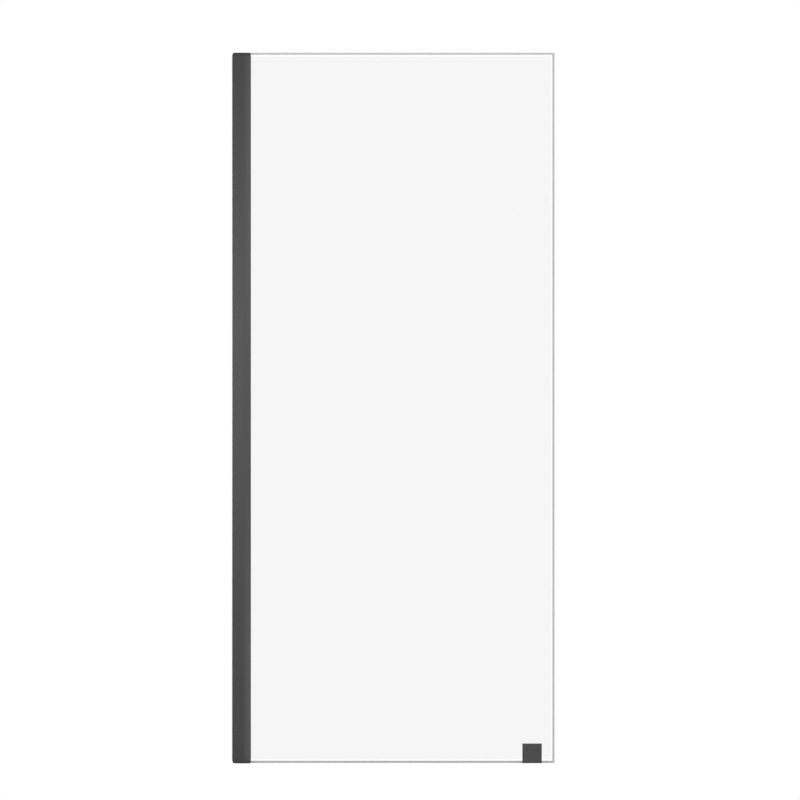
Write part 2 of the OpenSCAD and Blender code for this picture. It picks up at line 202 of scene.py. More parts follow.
@dataclass(frozen=True)
class Finish:
    """A real material with the surface that its making gave it.

    Attributes:
        name: Name of the material.
        light: Its lighter tone, an sRGB hex colour.
        dark: Its darker tone.
        roughness: Middle roughness.
        grains: Its patterns, from coarse to fine.
        metallic: One for bare metal, less under a dyed or lacquered skin.
        ior: Index of refraction, which a metal leaves at the default.
        specular: Share of the mirrored light: a half is all of it, less is lost in a skin full of pits.
        scatter: Weight of the light that travels inside it.
        scatter_mm: How far that light travels.
        clear: Weight of the light that passes through it.
    """

    name: str
    light: str
    dark: str
    roughness: float
    grains: tuple[Grain, ...]
    metallic: float = 0.0
    ior: float = 1.5
    specular: float = 0.5
    scatter: float = 0.0
    scatter_mm: float = 1.0
    clear: float = 0.0

    def total(
        self, tree: NodeTree, heights: list[NodeSocket], shares: list[float], middle: float
    ) -> NodeSocket | None:
        """Adds up the patterns, each weighed by its share.

        Args:
            tree: Material's node tree.
            heights: Outputs of the patterns, from zero to one.
            shares: Weight of each pattern.
            middle: Value where every pattern is at its middle.

        Returns:
            Output with the sum, or None if no pattern has a weight.
        """
        used = [(height, share) for height, share in zip(heights, shares, strict=True) if share]
        start = middle - sum(share for _, share in used) / 2
        result = None
        for height, share in used:
            links = {0: height}
            values = {1: share}
            if result is None:
                values[2] = start
            else:
                links[2] = result
            result = add_node(tree, "ShaderNodeMath", links, values, operation="MULTIPLY_ADD").outputs[0]
        return result

    def material(self) -> Material:
        """Builds the material.

        Returns:
            The material with its node tree.
        """
        material = bpy.data.materials.new(self.name)
        material.use_nodes = True
        tree = material.node_tree
        tree.nodes.clear()
        place = add_node(tree, "ShaderNodeTexCoord").outputs["Object"]
        heights = [grain.strength(tree, place) for grain in self.grains]
        tone = self.total(tree, heights, [grain.tone for grain in self.grains], 0.5)
        rough = self.total(tree, heights, [grain.rough for grain in self.grains], self.roughness)
        relief = self.total(tree, heights, [grain.height_mm * MM for grain in self.grains], 0.0)
        links: dict[int | str, NodeSocket] = {}
        values: dict[int | str, object] = {
            "Base Color": linear_colour(self.light),
            "Metallic": self.metallic,
            "Roughness": self.roughness,
            "IOR": self.ior,
            "Specular IOR Level": self.specular,
            "Subsurface Weight": self.scatter,
            "Subsurface Scale": self.scatter_mm * MM,
            "Transmission Weight": self.clear,
        }
        if tone is not None:
            tones = {MIX_DARK: linear_colour(self.dark), MIX_LIGHT: linear_colour(self.light)}
            mixed = add_node(tree, "ShaderNodeMix", {0: tone}, tones, data_type="RGBA")
            links["Base Color"] = mixed.outputs[MIX_RESULT]
        if rough is not None:
            links["Roughness"] = rough
        if relief is not None:
            bump = add_node(tree, "ShaderNodeBump", {"Height": relief}, {"Distance": 1.0})
            links["Normal"] = bump.outputs[0]
        surface = add_node(tree, "ShaderNodeBsdfPrincipled", links, values).outputs[0]
        add_node(tree, "ShaderNodeOutputMaterial", {"Surface": surface})
        return material


# Etching, mould grain and tool marks are 0.02 to 0.3 mm fine on the real pieces. They are drawn at 0.4 to
# 0.8 mm in these finishes, so that they can show close up.

# The front of the jamb and its caps isn't quite flat: from 30 mm off the wall it falls away towards the
# glass, by 1.3 mm in the first 20 mm, so that a softer and paler band lies beside the pane.
SLOW_SHOULDER = Grain((20, 20, 20), Pattern.SHOULDER, height_mm=-1.3, start_mm=30)

# Extruded aluminium, etched and then anodised in a dark bath: satin, almost black in shadow, with faint
# upright lines from the die. The lines are real at 0.3 mm and are drawn at 2.5 mm, so that they can show.
GUNMETAL_ALUMINIUM = Finish(
    "gunmetal_anodised_aluminium",
    light="#3d3d3d",
    dark="#343434",
    roughness=0.4,
    metallic=1.0,
    grains=(
        SLOW_SHOULDER,
        Grain((60, 60, 700), tone=0.4, rough=0.05),
        Grain((2.5, 2.5, 1500), tone=0.4, rough=0.05, height_mm=0.004),
        Grain((0.5, 0.5, 0.5), tone=0.2, rough=0.08, height_mm=0.002),
    ),
)

# The same extrusion with a clear anodised skin: pale, cool and satin, with the same lines from the die.
NATURAL_ALUMINIUM = Finish(
    "natural_anodised_aluminium",
    light="#b9bbbd",
    dark="#a5a7a9",
    roughness=0.38,
    metallic=1.0,
    grains=(
        Grain((60, 60, 500), tone=0.5, rough=0.05),
        Grain((3, 3, 1500), tone=0.5, rough=0.05, height_mm=0.003),
        Grain((0.8, 0.8, 0.8), rough=0.06, height_mm=0.001),
    ),
)

# ABS moulded in a spark-eroded tool: an even matt skin of fine grains with a soft sheen.
MOULDED_ABS = Finish(
    "moulded_abs",
    light="#222222",
    dark="#1b1b1b",
    roughness=0.52,
    ior=1.53,
    specular=0.3,
    grains=(
        SLOW_SHOULDER,
        Grain((25, 25, 25), tone=0.4, rough=0.04),
        Grain((0.6, 0.6, 0.6), Pattern.CELLS, tone=0.25, rough=0.1, height_mm=0.012),
    ),
)

# Brass, cast and ground flat, then plated in gunmetal and brushed: a little smoother than the aluminium.
PLATED_BRASS = Finish(
    "gunmetal_plated_brass",
    light="#3c3c3c",
    dark="#343434",
    roughness=0.45,
    metallic=1.0,
    grains=(
        Grain((30, 30, 30), tone=0.4, rough=0.05),
        Grain((60, 0.8, 0.8), tone=0.6, rough=0.1, height_mm=0.003),
    ),
)

# Soda-lime float glass, toughened: glossy and faintly grey, with the slow waves that the furnace's rollers
# leave.
CLEAR_GLASS = Finish(
    "toughened_clear_glass",
    light="#f7f7f7",
    dark="#f4f4f4",
    roughness=0.0,
    ior=1.52,
    clear=1.0,
    grains=(
        Grain((900, 900, 260), height_mm=0.012),
        Grain((40, 40, 60), tone=0.3),
    ),
)

# The same glass just inside its ground edge, painted paler than the rest: painted light, standing in for
# light that enters the edge and spreads into the pane there.
PAINTED_LIGHT_RIM = replace(CLEAR_GLASS, name="toughened_clear_glass_painted_light_rim", light="#ffffff", dark="#fdfdfd")

# The same glass where it is ground: grey and frosted, with fine marks across the edge.
GROUND_GLASS = Finish(
    "ground_glass_edge",
    light="#d6d8d7",
    dark="#caccca",
    roughness=0.5,
    ior=1.52,
    clear=0.3,
    grains=(
        Grain((6, 6, 6), tone=0.6, rough=0.1),
        Grain((0.8, 0.8, 0.8), rough=0.1, height_mm=0.01),
    ),
)

# EPDM rubber, extruded: deep grey, matt, with drag lines along it and a dusty bloom.
EPDM_RUBBER = Finish(
    "extruded_epdm_rubber",
    light="#333436",
    dark="#262728",
    roughness=0.72,
    ior=1.48,
    grains=(
        Grain((8, 8, 60), tone=0.6, rough=0.08),
        Grain((0.7, 0.7, 40), tone=0.3, height_mm=0.01),
    ),
)

# Rubber sheet, cut to shape: flat and matt, with a fine talc mottle.
RUBBER_SHEET = Finish(
    "cut_rubber_sheet",
    light="#3a3b3c",
    dark="#2a2b2c",
    roughness=0.78,
    ior=1.48,
    grains=(
        Grain((5, 5, 5), tone=0.7, rough=0.08),
        Grain((0.5, 0.5, 0.5), Pattern.CELLS, tone=0.3, height_mm=0.01),
    ),
)

# Soft PVC, moulded: milky and half clear, so that it vanishes behind the glass.
MILKY_PVC = Finish(
    "moulded_milky_pvc",
    light="#d9dcde",
    dark="#c8cccf",
    roughness=0.42,
    ior=1.53,
    scatter=0.6,
    scatter_mm=2.0,
    clear=0.25,
    grains=(
        Grain((12, 12, 12), tone=0.6, rough=0.06),
        Grain((0.8, 0.8, 0.8), height_mm=0.008),
    ),
)

# PVC sheet, die-cut: clear, with a faint haze and a satin skin.
CLEAR_PVC = Finish(
    "cut_clear_pvc",
    light="#fafbfb",
    dark="#f0f2f2",
    roughness=0.08,
    ior=1.53,
    clear=0.95,
    grains=(
        Grain((10, 10, 10), tone=0.6, rough=0.04),
        Grain((0.8, 0.8, 0.8), height_mm=0.002),
    ),
)

# Nylon, turned from rod: ivory and waxy, with a fine thread of tool marks.
TURNED_NYLON = Finish(
    "turned_nylon",
    light="#e9e8e0",
    dark="#dcdbd2",
    roughness=0.45,
    ior=1.53,
    scatter=0.5,
    scatter_mm=1.5,
    grains=(
        Grain((10, 10, 10), tone=0.6, rough=0.05),
        Grain((30, 0.4, 30), height_mm=0.006),
    ),
)

# Stainless steel, headed and thread-rolled, then tumbled: bright and grey, with circles on the heads.
TURNED_STEEL = Finish(
    "turned_stainless_steel",
    light="#c3c5c7",
    dark="#a9abad",
    roughness=0.28,
    metallic=1.0,
    grains=(
        Grain((6, 6, 6), tone=0.5, rough=0.08),
        Grain((0.5, 0.5, 0.5), Pattern.RINGS, tone=0.3, rough=0.06, height_mm=0.003),
    ),
)

# The same steel on the nuts, which are pressed and tumbled, so that it has no circles.
TUMBLED_STEEL = Finish(
    "tumbled_stainless_steel",
    light="#bdbfc1",
    dark="#a5a7a9",
    roughness=0.36,
    metallic=1.0,
    grains=(
        Grain((4, 4, 4), tone=0.5, rough=0.08),
        Grain((0.5, 0.5, 0.5), rough=0.1, height_mm=0.004),
    ),
)


@dataclass
class Palette:
    """The materials, each built once, when a piece first asks for it."""

    built: dict[str, Material] = field(default_factory=dict)

    def material(self, finish: Finish) -> Material:
        """Gives the material of a finish.

        Args:
            finish: The finish wanted.

        Returns:
            Its material.
        """
        if finish.name not in self.built:
            self.built[finish.name] = finish.material()
        return self.built[finish.name]


@dataclass
class Workshop:
    """What every sub-assembly uses to dress CAD nodes and to add pieces."""

    palette: Palette = field(default_factory=Palette)

    def dress(self, node: str, finish: Finish, edge_mm: float, sharp: float = CREASE_ANGLE) -> None:
        """Gives a CAD node its finish and rounds its sharp edges, as deburring or a mould does.

        Args:
            node: Name of the CAD node.
            finish: Its finish.
            edge_mm: Width of the rounding.
            sharp: Angle from which an edge is sharp enough to be rounded.
        """
        piece = frame["nodes"][node]
        for slot in piece.material_slots:
            slot.material = self.palette.material(finish)
        rounding = {"width": edge_mm * MM, "segments": EDGE_FACES}
        for name, kind, settings in (
            ("weld", "WELD", {"merge_threshold": SAME_POINT}),
            ("flats", "DECIMATE", {"decimate_type": "DISSOLVE", "angle_limit": FLAT_ANGLE}),
            ("broken_edges", "BEVEL", rounding | {"limit_method": "ANGLE", "angle_limit": sharp}),
            ("shading", "WEIGHTED_NORMAL", {"keep_sharp": False}),
        ):
            modifier = piece.modifiers.new(name, kind)
            for setting, value in settings.items():
                setattr(modifier, setting, value)
        log.info("%s: CAD solid, finish %s", node, finish.name)

    def piece(
        self, name: str, shape: BMesh, finishes: tuple[Finish, ...], node: str, slot: str, origin: Vector
    ) -> Object:
        """Turns a finished shape into a piece that stands for a CAD node and rides with its body.

        Args:
            name: Name of the piece.
            shape: Its shape about its own origin, which is freed here.
            finishes: Finishes, by the material number of its faces.
            node: CAD node that it stands for.
            slot: The record's material slot of the piece; not used.
            origin: Place of its origin.

        Returns:
            The new object.
        """
        mesh = bpy.data.meshes.new(name)
        bmesh.ops.recalc_face_normals(shape, faces=shape.faces)
        shape.to_mesh(mesh)
        shape.free()
        for finish in finishes:
            mesh.materials.append(self.palette.material(finish))
        made = bpy.data.objects.new(name, mesh)
        made.location = origin
        bpy.context.scene.collection.objects.link(made)
        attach(made, frame["nodes"][node]["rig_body"])
        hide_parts(node)
        log.info("%s: %d faces, stands for %s", name, len(mesh.polygons), node)
        return made


def bridge(shape: BMesh, rings: list[list[BMVert]]) -> list[BMFace]:
    """Joins each closed ring of points to the next one by a band of faces.

    Args:
        shape: Mesh that holds the rings.
        rings: Rings with equally many points.

    Returns:
        The new faces.
    """
    faces = []
    for lower, upper in pairwise(rings):
        corners = zip(lower, lower[1:] + lower[:1], upper[1:] + upper[:1], upper, strict=True)
        faces += [shape.faces.new(four) for four in corners]
    return faces


def crease(shape: BMesh) -> None:
    """Shades a mesh smooth, and keeps the edges that are sharper than the crease angle crisp.

    Args:
        shape: Mesh to shade.
    """
    for face in shape.faces:
        face.smooth = True
    for edge in shape.edges:
        edge.smooth = len(edge.link_faces) < 2 or edge.calc_face_angle() < CREASE_ANGLE


@dataclass
class Pane:
    """The toughened pane: pencil-ground edges, small round corners, and the arrissed hole for the clamp.

    Attributes:
        corner_mm: Radius of its corners.
        inner_corner_mm: Least radius of the corners, inside the ground edge.
        margin_mm: Width of the margin of the faces that the grinding wheel has dulled too.
        rim_mm: Width of the rim inside that margin, which is painted paler as painted light.
        land_mm: Flat land left along the middle of its edges.
        arris_mm: Width of the arris round the hole.
        film_mm: Thickness of the air film between the glass and what grips it.
        hole_play_mm: Clearance between the hole and the bush.
    """

    corner_mm: float = 2.0
    inner_corner_mm: float = 0.5
    margin_mm: float = 2.4
    rim_mm: float = 5.0
    land_mm: float = 1.0
    arris_mm: float = 0.8
    film_mm: float = 0.02
    hole_play_mm: float = 0.1

    def outline(self, shape: BMesh, inset: float, y: float) -> list[BMVert]:
        """Adds a ring of points round the pane.

        Args:
            shape: Mesh to add to.
            inset: Distance inside the pane's outermost edge, in metres.
            y: Depth of the ring, in metres.

        Returns:
            The ring's points.
        """
        low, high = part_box("glass")
        radius = max(self.corner_mm * MM - inset, self.inner_corner_mm * MM)
        across = (low.x + inset + radius, high.x - inset - radius)
        upward = (low.z + inset + radius, high.z - inset - radius)
        ring = []
        # Index of the far end across and upward, for each corner from the upper right one on
        for corner, (x, z) in enumerate(((1, 1), (0, 1), (0, 0), (1, 0))):
            for step in range(QUARTER_STEPS + 1):
                angle = math.pi / 2 * (corner + step / QUARTER_STEPS)
                place = (across[x] + radius * math.cos(angle), y, upward[z] + radius * math.sin(angle))
                ring.append(shape.verts.new(place))
        return ring

    def hole(self, shape: BMesh, centre: Vector, radius: float, y: float) -> list[BMVert]:
        """Adds a ring of points round the hole.

        Args:
            shape: Mesh to add to.
            centre: Middle of the hole.
            radius: Radius of the ring.
            y: Depth of the ring.

        Returns:
            The ring's points.
        """
        turn = [math.tau * step / TURN_STEPS for step in range(TURN_STEPS)]
        circle = [(centre.x + radius * math.cos(a), y, centre.z + radius * math.sin(a)) for a in turn]
        return [shape.verts.new(place) for place in circle]

    def build(self, shop: Workshop) -> None:
        """Models the pane and gives it its clear and its ground finish.

        Args:
            shop: The workshop.
        """
        low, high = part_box("glass")
        bush_low, bush_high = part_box("clamp_bush")
        half = (high.y - low.y) / 2 - self.film_mm * MM
        land = self.land_mm * MM / 2
        edge_r = half - land
        arris = self.arris_mm * MM
        hole_r = (bush_high.x - bush_low.x) / 2 + self.hole_play_mm * MM
        centre = (bush_low + bush_high) / 2
        shape = bmesh.new()
        angles = [math.pi / 2 * step / QUARTER_STEPS for step in range(QUARTER_STEPS + 1)]
        dulled = edge_r + self.margin_mm * MM
        profile = [(edge_r * (1 - math.cos(a)), land + edge_r * math.sin(a)) for a in angles]
        profile.append((dulled, half))
        front = [self.outline(shape, inset, -y) for inset, y in profile]
        rear = [self.outline(shape, inset, y) for inset, y in profile]
        inner = [self.outline(shape, dulled + self.rim_mm * MM, y) for y in (-half, half)]
        wide = hole_r + arris
        steps = ((wide, -half), (hole_r, arris - half), (hole_r, half - arris), (wide, half))
        bore = [self.hole(shape, centre, radius, y) for radius, y in steps]
        finishes = (CLEAR_GLASS, GROUND_GLASS, PAINTED_LIGHT_RIM)
        for face in bridge(shape, front[::-1] + rear) + bridge(shape, bore):
            face.material_index = finishes.index(GROUND_GLASS)
            face.smooth = True
        # The rim inside the dulled margin takes the paler finish: painted light beside the ground edge
        for face in bridge(shape, [front[-1], inner[0]]) + bridge(shape, [rear[-1], inner[1]]):
            face.material_index = finishes.index(PAINTED_LIGHT_RIM)
        for rings in ((inner[0], bore[0]), (inner[1], bore[-1])):
            loops = [shape.edges.get(pair) for ring in rings for pair in pairwise([*ring, ring[0]])]
            bmesh.ops.triangle_fill(shape, use_beauty=True, edges=loops)
        pane = shop.piece("pane", shape, finishes, "glass", "clear_glass", Vector())
        # The lamps' light passes it. Otherwise it would throw the shadow of a solid board
        pane.visible_shadow = False


class Drive(Enum):
    """Recesses that a screw is driven by."""

    CROSS = "cross"
    HEXAGON = "hexagon"


@dataclass
class Screw:
    """A machine screw along Y, with a rolled thread, a head and a driving recess.

    Attributes:
        shank_mm: Outer diameter of the thread.
        pitch_mm: Pitch of the thread.
        length_mm: Length from the tip to the head's seat.
        head_mm: Diameter of the head.
        head_h_mm: Height of the head.
        sunk: True for a countersunk head, False for a pan head.
        drive: Form of the recess.
        recess_mm: Width of the recess at its mouth.
        recess_h_mm: Depth of the recess.
    """

    shank_mm: float
    pitch_mm: float
    length_mm: float
    head_mm: float
    head_h_mm: float
    sunk: bool
    drive: Drive
    recess_mm: float
    recess_h_mm: float

    # Thread form as shares of the pitch: where its crest and its root start and end, and its depth
    CREST = (0.0, 0.125)
    ROOT = (0.4375, 0.6875)
    DEPTH = 0.6134
    # Shares of the head's height: the rim of a countersunk head, and the crown of a pan head
    RIM = 0.04
    CROWN = 0.55
    # Share of the head's radius that is rounded off at its seat
    SEAT_ROUND = 0.04
    # Shares of the recess's width: its broken edge, a cross at the floor, and the drill's point below it
    LIP = 0.03
    CROSS_FLOOR = 0.5
    POINT_R = 0.1
    POINT_H = 0.08
    # Half the angle that an arm of the cross takes at its tip
    ARM_ANGLE = math.radians(15)

    @property
    def root(self) -> float:
        """Radius at the root of the thread, in metres."""
        return (self.shank_mm / 2 - self.DEPTH * self.pitch_mm) * MM

    def ring(self, shape: BMesh, y: float, radius: Callable[[float], float]) -> list[BMVert]:
        """Adds a ring of points round the axis.

        Args:
            shape: Mesh to add to.
            y: Place along the axis, in metres.
            radius: Gives the radius at an angle.

        Returns:
            The ring's points.
        """
        angles = [math.tau * step / TURN_STEPS for step in range(TURN_STEPS)]
        return [shape.verts.new((radius(a) * math.cos(a), y, radius(a) * math.sin(a))) for a in angles]

    def recess_radius(self, width: float) -> Callable[[float], float]:
        """Gives the outline of the recess.

        Args:
            width: Width over the arms of a cross, or over the flats of a hexagon, in metres.

        Returns:
            Function from an angle to the radius of the outline there.
        """
        if self.drive is Drive.HEXAGON:
            side = math.pi / 3
            return lambda angle: width / 2 / math.cos(angle % side - side / 2)
        quarter = math.pi / 2
        half_arm = self.recess_mm * MM / 2 * math.tan(self.ARM_ANGLE)

        def cross(angle: float) -> float:
            """Gives the radius of a cross.

            Args:
                angle: Direction round the screw's axis.

            Returns:
                Radius in that direction, in metres.
            """
            off_arm = min(angle % quarter, quarter - angle % quarter)
            tip = width / 2 / math.cos(off_arm)
            return min(tip, half_arm / math.sin(off_arm)) if off_arm > FLAT_ANGLE else tip

        return cross

    def thread(self, shape: BMesh, tip: float, seat: float) -> None:
        """Adds the thread as one helical band, which fades out at both ends.

        Args:
            shape: Mesh to add to.
            tip: Place of the tip along the axis.
            seat: Place of the thread's other end.
        """
        pitch = self.pitch_mm * MM
        depth = self.DEPTH * pitch
        form = [(share, 1.0) for share in self.CREST] + [(share, 0.0) for share in self.ROOT]
        turns = math.ceil((seat - tip) / pitch) + 1
        length = seat - tip
        rows = []
        for turn in range(-1, turns + 1):
            for share, rise in form:
                row = []
                for step in range(TURN_STEPS):
                    along = min(max((turn + share + step / TURN_STEPS) * pitch, 0.0), length)
                    fade = min(along / pitch, (length - along) / pitch, 1.0)
                    radius = self.root + depth * rise * fade
                    angle = math.tau * step / TURN_STEPS
                    place = (radius * math.cos(angle), tip + along, radius * math.sin(angle))
                    row.append(shape.verts.new(place))
                rows.append(row)
        # The end of each row meets the start of the same row one turn on
        for i in range(len(rows) - len(form) - 1):
            lower = rows[i] + rows[i + len(form)][:1]
            upper = rows[i + 1] + rows[i + 1 + len(form)][:1]
            for step in range(TURN_STEPS):
                shape.faces.new((lower[step], lower[step + 1], upper[step + 1], upper[step]))

    def head_rings(self, shape: BMesh, seat: float) -> list[list[BMVert]]:
        """Adds the head and its recess as rings, from the seat round the top to the floor of the recess.

        Args:
            shape: Mesh to add to.
            seat: Place along the axis where the thread ends and the head starts.

        Returns:
            The rings in order.
        """
        head_r = self.head_mm * MM / 2
        height = self.head_h_mm * MM
        top = seat + height
        outer = [(self.root, seat)]
        if self.sunk:
            rim = self.RIM * height
            outer += [(self.root + rim, seat), (head_r, top - rim), (head_r - rim / 2, top)]
        else:
            start = self.SEAT_ROUND * head_r
            crown = self.CROWN * height
            outer += [(head_r - start, seat), (head_r, seat + start)]
            for step in range(QUARTER_STEPS + 1):
                angle = math.pi / 2 * step / QUARTER_STEPS
                inward = crown * (1 - math.cos(angle))
                outer.append((head_r - inward, top - crown * (1 - math.sin(angle))))
        rings = [self.ring(shape, y, lambda _, r=radius: r) for radius, y in outer]
        width = self.recess_mm * MM
        floor = top - self.recess_h_mm * MM
        floor_width = width if self.drive is Drive.HEXAGON else self.CROSS_FLOOR * width
        mouth = self.recess_radius(width)
        lip = self.LIP * width
        rings.append(self.ring(shape, top, lambda angle: mouth(angle) + lip))
        rings.append(self.ring(shape, top - lip, mouth))
        rings.append(self.ring(shape, floor, self.recess_radius(floor_width)))
        rings.append(self.ring(shape, floor - self.POINT_H * width, lambda _: self.POINT_R * width))
        return rings

    def shape(self) -> BMesh:
        """Models the screw with its tip towards -Y and the seat of its head at the origin.

        Returns:
            The closed mesh.
        """
        made = bmesh.new()
        tip = -self.length_mm * MM
        self.thread(made, tip, 0.0)
        rings = self.head_rings(made, 0.0)
        bridge(made, rings)
        made.faces.new(rings[-1])
        made.faces.new(self.ring(made, tip, lambda _: self.root))
        bmesh.ops.remove_doubles(made, verts=made.verts, dist=SAME_POINT)
        bmesh.ops.dissolve_degenerate(made, edges=made.edges, dist=SAME_POINT)
        crease(made)
        return made


@dataclass
class WallJamb:
    """The wall channel, the jamb that slides over it, and the jamb's two end caps.

    Attributes:
        metal_edge_mm: Width of the broken edges of the extrusions.
        cap_edge_mm: Width of the broken edges of the caps.
        cap_sharp: Angle from which the caps' edges are broken, as less sharp ones are rounded already.
    """

    metal_edge_mm: float = 0.2
    cap_edge_mm: float = 0.2
    cap_sharp: float = math.radians(60)

    def build(self, shop: Workshop) -> None:
        """Dresses the extrusions and the caps.

        Args:
            shop: The workshop.
        """
        shop.dress("wall_channel", NATURAL_ALUMINIUM, self.metal_edge_mm)
        shop.dress("jamb", GUNMETAL_ALUMINIUM, self.metal_edge_mm)
        for cap in ("top_cap", "bottom_cap"):
            shop.dress(cap, MOULDED_ABS, self.cap_edge_mm, self.cap_sharp)


@dataclass
class Glazing:
    """The pane with the gaskets, spacers and pad that hold it in the jamb and on the tray.

    Attributes:
        pane: The pane.
        rubber_edge_mm: Width of the rounded edges of the rubber.
        block_edge_mm: Width of the rounded edges of the spacers and the setting pad.
    """

    pane: Pane = field(default_factory=Pane)
    rubber_edge_mm: float = 0.15
    block_edge_mm: float = 0.2

    def build(self, shop: Workshop) -> None:
        """Models the pane and dresses what holds it.

        Args:
            shop: The workshop.
        """
        self.pane.build(shop)
        for gasket in ("front_gasket", "rear_gasket"):
            shop.dress(gasket, EPDM_RUBBER, self.rubber_edge_mm)
        shop.dress("glass_spacers", MILKY_PVC, self.block_edge_mm)
        shop.dress("setting_pad", CLEAR_PVC, self.block_edge_mm)


@dataclass
class WidthLocks:
    """The four pan-head screws that lock the width, with their nuts, washers and covers.

    Attributes:
        count: Number of screws.
        shank_mm: Outer diameter of their thread.
        pitch_mm: Pitch of their thread.
        head_h_mm: Height of their heads.
        recess_h_mm: Depth of their cross recesses.
        cover_edge_mm: Width of the rounded edges of the washers and covers.
        nut_edge_mm: Width of the rounded edges of the nuts.
    """

    count: int = 4
    shank_mm: float = 4.0
    pitch_mm: float = 0.7
    head_h_mm: float = 3.1
    recess_h_mm: float = 1.6
    cover_edge_mm: float = 0.15
    nut_edge_mm: float = 0.3

    def build(self, shop: Workshop) -> None:
        """Models the screws and dresses the rest.

        Args:
            shop: The workshop.
        """
        low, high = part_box("locking_screws")
        head_mm = (high.x - low.x) / MM
        head_h = self.head_h_mm * MM
        screw = Screw(
            shank_mm=self.shank_mm,
            pitch_mm=self.pitch_mm,
            length_mm=(high.y - low.y) / MM - self.head_h_mm,
            head_mm=head_mm,
            head_h_mm=self.head_h_mm,
            sunk=False,
            drive=Drive.CROSS,
            recess_mm=head_mm / 2,
            recess_h_mm=self.recess_h_mm,
        )
        first = low.z + head_mm * MM / 2
        last = high.z - head_mm * MM / 2
        for number in range(self.count):
            height = first + (last - first) * number / (self.count - 1)
            seat = Vector(((low.x + high.x) / 2, high.y - head_h, height))
            name = f"locking_screw_{number + 1}"
            shop.piece(name, screw.shape(), (TURNED_STEEL,), "locking_screws", "screw_steel", seat)
        shop.dress("locking_nuts", TUMBLED_STEEL, self.nut_edge_mm)
        shop.dress("locking_washers", MOULDED_ABS, self.cover_edge_mm)
        shop.dress("screw_covers", MOULDED_ABS, self.cover_edge_mm)


@dataclass
class FloorClamp:
    """The clamp that holds the free lower corner of the pane: plates, pads, bush and screw.

    Attributes:
        shank_mm: Outer diameter of the screw's thread.
        pitch_mm: Pitch of the screw's thread.
        head_h_mm: Height of the screw's head.
        socket_mm: Width of the screw's socket over its flats.
        socket_h_mm: Depth of the screw's socket.
        metal_edge_mm: Width of the broken edges of the plates.
        pad_edge_mm: Width of the rounded edges of the pads and the bush.
    """

    shank_mm: float = 8.0
    pitch_mm: float = 1.25
    head_h_mm: float = 4.0
    socket_mm: float = 5.0
    socket_h_mm: float = 3.2
    metal_edge_mm: float = 0.3
    pad_edge_mm: float = 0.2

    def build(self, shop: Workshop) -> None:
        """Models the screw and dresses the rest.

        Args:
            shop: The workshop.
        """
        for plate in ("clamp_cover", "clamp_body"):
            shop.dress(plate, PLATED_BRASS, self.metal_edge_mm)
        for pad in ("clamp_front_pad", "clamp_rear_pad"):
            shop.dress(pad, RUBBER_SHEET, self.pad_edge_mm)
        shop.dress("clamp_bush", TURNED_NYLON, self.pad_edge_mm)
        low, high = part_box("clamp_screw")
        screw = Screw(
            shank_mm=self.shank_mm,
            pitch_mm=self.pitch_mm,
            length_mm=(high.y - low.y) / MM - self.head_h_mm,
            head_mm=(high.x - low.x) / MM,
            head_h_mm=self.head_h_mm,
            sunk=True,
            drive=Drive.HEXAGON,
            recess_mm=self.socket_mm,
            recess_h_mm=self.socket_h_mm,
        )
        seat = Vector(((low.x + high.x) / 2, high.y - self.head_h_mm * MM, (low.z + high.z) / 2))
        name = "clamp_screw_threaded"
        shop.piece(name, screw.shape(), (TURNED_STEEL,), "clamp_screw", "screw_steel", seat)


@dataclass(frozen=True)
class Lamp:
    """A soft rectangular lamp.

    Attributes:
        name: Its name.
        place: Its middle, in metres.
        aim: Point that it faces.
        width: Its width.
        height: Its height.
        watts: Its power.
    """

    name: str
    place: tuple[float, float, float]
    aim: tuple[float, float, float]
    width: float
    height: float
    watts: float

    def build(self) -> Object:
        """Adds the lamp, which lights the object and shows in metal, but isn't seen itself.

        Returns:
            The lamp.
        """
        light = bpy.data.lights.new(self.name, "AREA")
        light.shape = "RECTANGLE"
        light.size = self.width
        light.size_y = self.height
        light.energy = self.watts
        lamp = bpy.data.objects.new(self.name, light)
        lamp.location = self.place
        facing = Vector(self.aim) - Vector(self.place)
        lamp.rotation_euler = facing.to_track_quat("-Z", "Y").to_euler()
        lamp.visible_camera = False
        lamp.visible_transmission = False
        bpy.context.scene.collection.objects.link(lamp)
        return lamp


